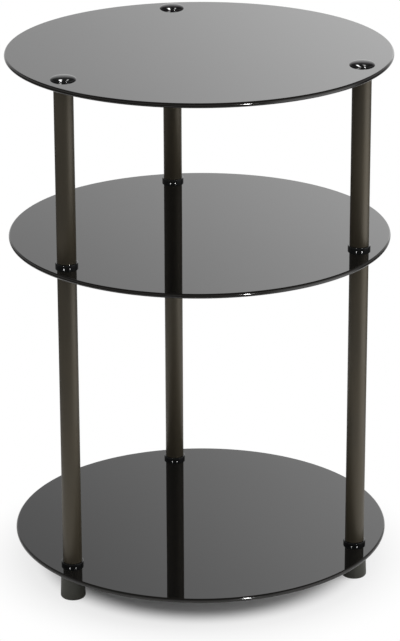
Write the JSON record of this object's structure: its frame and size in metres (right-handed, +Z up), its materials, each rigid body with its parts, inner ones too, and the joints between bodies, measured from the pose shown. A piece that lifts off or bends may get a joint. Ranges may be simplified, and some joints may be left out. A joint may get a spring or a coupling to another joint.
{
  "type": "tiered side table",
  "caption": "Round tiered side table: black glass shelves on slim dark tube posts that screw together through the glass, with button caps on top and short feet.",
  "frame": {"origin": "on the floor, under the middle of the round shelves", "axes": "+Z up; +Y towards the rear post, with the other two posts at the front left (-X) and front right (+X)"},
  "size_m": [0.4, 0.4, 0.5688],
  "materials": {
    "black_glass": "opaque black tempered glass, polished faces and pencil edge",
    "tube_paint": "satin dark bronze-grey powder coat",
    "gloss_plastic": "glossy black moulding",
    "foot_plastic": "satin dark grey moulding",
    "plug_plastic": "matt black moulding",
    "zinc_steel": "bright zinc plate"
  },
  "bodies": {
    "root": {"cap_left": "gloss_plastic", "cap_rear": "gloss_plastic", "cap_right": "gloss_plastic", "cap_screws": "zinc_steel", "foot_left": "foot_plastic", "foot_nuts": "zinc_steel", "foot_rear": "foot_plastic", "foot_right": "foot_plastic", "lower_bolts": "zinc_steel", "lower_collar_left": "gloss_plastic", "lower_collar_rear": "gloss_plastic", "lower_collar_right": "gloss_plastic", "lower_nuts": "zinc_steel", "lower_plug_left": "plug_plastic", "lower_plug_rear": "plug_plastic", "lower_plug_right": "plug_plastic", "lower_tube_left": "tube_paint", "lower_tube_rear": "tube_paint", "lower_tube_right": "tube_paint", "shelf_bottom": "black_glass", "shelf_middle": "black_glass", "shelf_top": "black_glass", "upper_bolts": "zinc_steel", "upper_collar_left": "gloss_plastic", "upper_collar_rear": "gloss_plastic", "upper_collar_right": "gloss_plastic", "upper_nuts": "zinc_steel", "upper_plug_left": "plug_plastic", "upper_plug_rear": "plug_plastic", "upper_plug_right": "plug_plastic", "upper_tube_left": "tube_paint", "upper_tube_rear": "tube_paint", "upper_tube_right": "tube_paint"}
  },
  "joints": []
}
